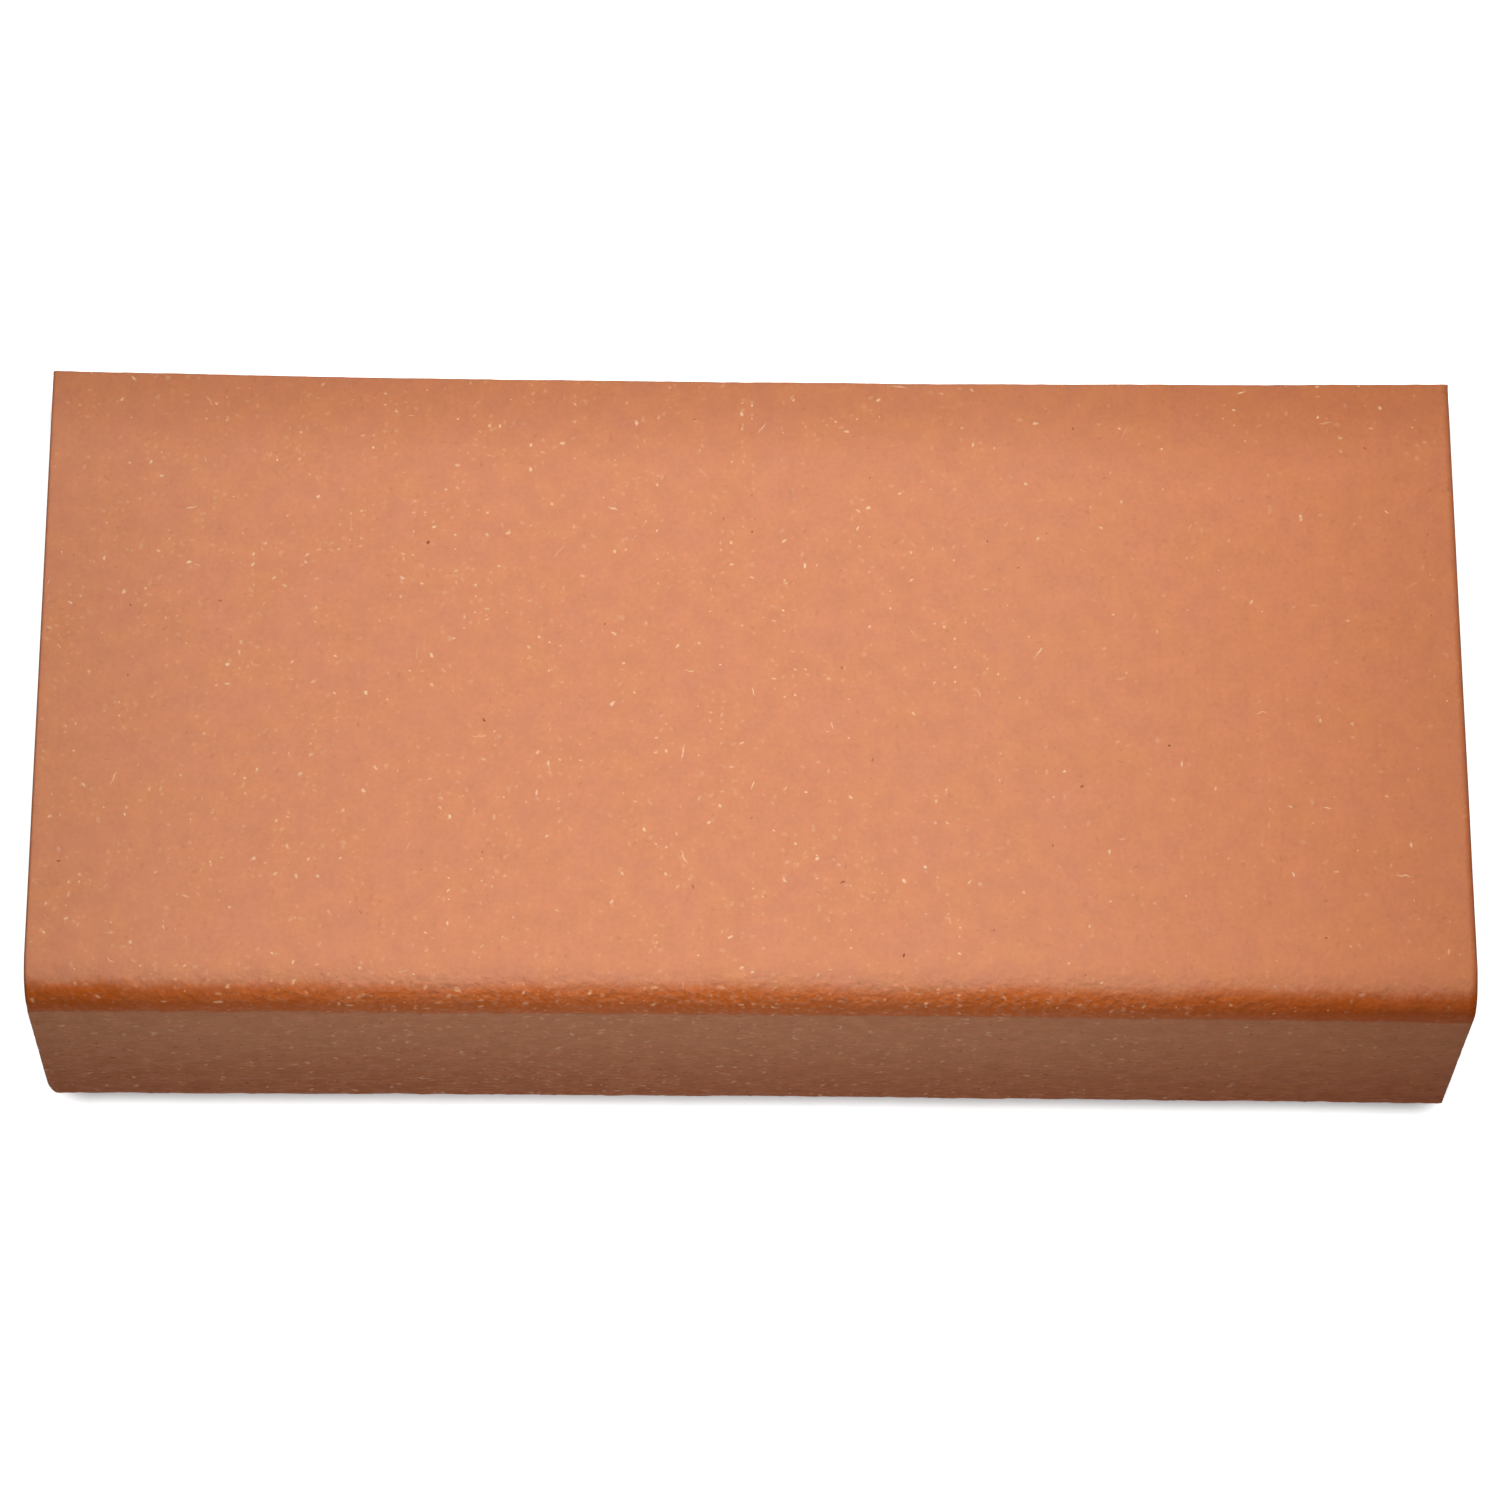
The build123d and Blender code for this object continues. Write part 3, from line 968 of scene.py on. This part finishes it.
def terracotta(colours):
    """Unglazed terracotta, extruded and fired. To the eye it is matte, a pale orange brown with faint clouds,
    fine grain, cream flecks of grog and a few dark pits, with painted shade of small dents. The die leaves
    the nose and arrises with a burnish deeper in colour, which on the rims of the cut ends is also painted
    shade, and short drag lines along the length of the front face, painted paler as their highlights, and the
    grain's tips are worn paler and painted paler as highlights. A painted reflection of the white table makes
    the front face paler and greyer below the nose, and painted shade darkens the clay towards the back edge
    and the cut ends. The patterns lie on the tile's unrolled skin."""
    material = bpy.data.materials.new("unglazed_terracotta")
    node = emptied(material)
    mask = {
        name: node("Attribute", attribute_name=name).outputs["Fac"]
        for name in ("nose", "rough", "riser", "painted_reflection", "painted_edge_shade", "cut_end")
    }
    skin = node("UVMap", uv_map="skin")
    along = node("SeparateXYZ", {"Vector": skin}).outputs["X"]
    from_middle = node("Math", {0: along}, operation="ABSOLUTE")
    ends = node(
        "MapRange", {"Value": from_middle, "From Min": NOSE_ENDS[0], "From Max": NOSE_ENDS[1]},
        interpolation_type="SMOOTHSTEP")
    place = {"skin": skin, "along": along, "from_middle": from_middle, "ends": ends}
    noise = {
        name: node(
            "TexNoise", {"Vector": skin, "Scale": per_metre(size), "Detail": detail, "Roughness": roughness},
            noise_dimensions="2D")
        for name, (size, detail, roughness) in CLAY_NOISES.items()
    }
    pressed = pressed_clay(node, colours, mask, noise, place)
    shaded = shaded_clay(node, colours, mask, noise, place, pressed)
    flecked = flecked_clay(node, colours, mask, noise, place, shaded)

    # Matte, with the grain standing out by hundredths of a millimetre, and by more on the nose
    on_nose = node("Math", {0: mask["riser"], 1: -NOSE_LOSS, 2: mask["rough"]}, operation="MULTIPLY_ADD")
    highest = node("MapRange", {"Value": ends, "To Min": 0.62, "To Max": 0.35})
    standing = node("MapRange", {"Value": on_nose, "To Min": 0.15, "To Max": highest})
    bump = node("Bump", {"Height": noise["coarse_grain"], "Strength": standing, "Distance": GRAIN_RELIEF})
    clay = node(
        "BsdfPrincipled",
        {"Base Color": flecked, "Roughness": 0.45, "IOR": 1.5, "Specular IOR Level": 0.01, "Normal": bump})
    node("OutputMaterial", {"Surface": clay})
    return material


class TREADTILE_OT_build_tile(bpy.types.Operator):
    """Build the fired tile in place of its plain solid"""

    bl_idname = "tread_tile.build_tile"
    bl_label = "Build Tile"

    def execute(self, context):
        scene = context.scene
        points, quads, triangles, masks, skin = tile_surface(scene.tread_tile_sizes, scene.tread_tile_relief)
        mesh = filled_mesh("fired_tile", points, quads, triangles)
        for name, values in masks.items():
            mask = mesh.attributes.new(name, "FLOAT", "POINT")
            mask.data.foreach_set("value", values.astype(np.float32))
        mesh.uv_layers.new(name="skin").data.foreach_set("uv", skin.astype(np.float32).ravel())
        mesh.set_sharp_from_angle(angle=SHARP_TURN)
        mesh.materials.append(terracotta(scene.tread_tile_colours))
        tile = bpy.data.objects.new("fired_tile", mesh)
        scene.collection.objects.link(tile)
        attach(tile, BODY)
        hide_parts(NODE)
        return {"FINISHED"}


# Rays with which the floor's open view is felt out
SHADOW_SAMPLES = 16


def seen_white(node, unseen, seen):
    """Strength of a white that is burnt out for the camera, reflections and glass, and weaker for other
    light."""
    rays = node("LightPath").outputs
    mirrored = node("Math", {0: rays["Is Glossy Ray"], 1: rays["Is Transmission Ray"]}, operation="MAXIMUM")
    direct = node("Math", {0: rays["Is Camera Ray"], 1: mirrored}, operation="MAXIMUM")
    return node("MapRange", {"Value": direct, "To Min": unseen, "To Max": seen})


def white_floor(stage):
    """White table under even light. The camera and reflections see it burnt out to white, the clay gets less
    of that light, and close to the tile it is shut out, so that the contact shadow stays."""
    material = bpy.data.materials.new("white_table")
    node = emptied(material)
    glow = seen_white(node, stage.floor_fill, stage.floor_glow)
    lean = stage.shadow_lean
    towards = node("CombineXYZ", {"Y": math.sin(lean), "Z": math.cos(lean)})
    open_view = node(
        "AmbientOcclusion", {"Distance": stage.shadow_reach, "Normal": towards}, samples=SHADOW_SAMPLES)
    cleared = node(
        "MapRange",
        {"Value": open_view.outputs["AO"], "From Min": stage.shadow_dark, "From Max": stage.shadow_clear})
    strength = node("Math", {0: glow, 1: cleared}, operation="MULTIPLY")
    white = node("Emission", {"Strength": strength})
    lit = node("BsdfDiffuse", {"Color": opaque(stage.floor_colour)})
    both = node("AddShader", {0: white, 1: lit})
    node("OutputMaterial", {"Surface": both})
    return material


def white_sky(scene, strength):
    """Even light of the given strength from all sides, which the camera and reflections see as white."""
    world = bpy.data.worlds.new("white_room")
    node = emptied(world)
    sky = node("Background", {"Strength": seen_white(node, strength, 1.0)})
    node("OutputWorld", {"Surface": sky})
    scene.world = world


class TREADTILE_OT_set_stage(bpy.types.Operator):
    """Set the floor, the lamps, the even light and the camera"""

    bl_idname = "tread_tile.set_stage"
    bl_label = "Set Stage"

    def execute(self, context):
        scene = context.scene
        stage = scene.tread_tile_stage

        half = stage.floor_size / 2
        corners = np.array([(-1, -1), (1, -1), (1, 1), (-1, 1)]) * half
        points = np.column_stack([corners, np.full(4, TILE_LOW.z)])
        mesh = filled_mesh("table_top", points, np.array([[0, 1, 2, 3]]), np.empty((0, 3), int))
        mesh.materials.append(white_floor(stage))
        table = bpy.data.objects.new("table_top", mesh)
        scene.collection.objects.link(table)

        lamps = {
            "back_lamp": (stage.back_power, stage.back_place),
            "front_lamp": (stage.front_power, stage.front_place),
        }
        for name, (power, place) in lamps.items():
            lamp = bpy.data.lights.new(name, "AREA")
            lamp.energy = power
            lamp.shape = "RECTANGLE"
            lamp.size = stage.lamp_width
            lamp.size_y = stage.lamp_depth
            hung = bpy.data.objects.new(name, lamp)
            hung.location = place
            hung.visible_camera = False
            scene.collection.objects.link(hung)
        white_sky(scene, stage.sky_strength)

        camera = bpy.data.cameras.new("camera")
        camera.lens = stage.lens
        stand = bpy.data.objects.new("camera", camera)
        stand.location = stage.camera_place
        stand.rotation_mode = "ZYX"
        stand.rotation_euler = stage.camera_turn
        scene.collection.objects.link(stand)
        scene.camera = stand
        scene.view_settings.view_transform = "Standard"
        return {"FINISHED"}


class TREADTILE_PT_panel(bpy.types.Panel):
    """Sidebar panel with the tile's sizes, surface, colours and stage"""

    bl_idname = "TREADTILE_PT_panel"
    bl_label = "Stair Tread Tile"
    bl_space_type = "VIEW_3D"
    bl_region_type = "UI"
    bl_category = "Tread Tile"

    def draw(self, context):
        layout = self.layout
        for attribute, label in GROUPS.items():
            box = layout.box()
            box.label(text=label)
            group = getattr(context.scene, attribute)
            for name in group.__annotations__:
                box.prop(group, name)
        for operator in OPERATORS:
            layout.operator(operator.bl_idname)


GROUPS = {
    "tread_tile_sizes": "Sizes",
    "tread_tile_relief": "Surface",
    "tread_tile_colours": "Colours",
    "tread_tile_stage": "Stage",
}
GROUP_TYPES = (TileSizes, TileRelief, TileColours, StageSettings)
OPERATORS = (TREADTILE_OT_build_tile, TREADTILE_OT_set_stage)
CLASSES = (*GROUP_TYPES, *OPERATORS, TREADTILE_PT_panel)


def register():
    for cls in CLASSES:
        bpy.utils.register_class(cls)
    for attribute, group_type in zip(GROUPS, GROUP_TYPES):
        setattr(bpy.types.Scene, attribute, PointerProperty(type=group_type))


def unregister():
    for attribute in GROUPS:
        delattr(bpy.types.Scene, attribute)
    for cls in reversed(CLASSES):
        bpy.utils.unregister_class(cls)


def main():
    register()
    bpy.ops.tread_tile.build_tile()
    bpy.ops.tread_tile.set_stage()


if __name__ == "__main__":
    main()
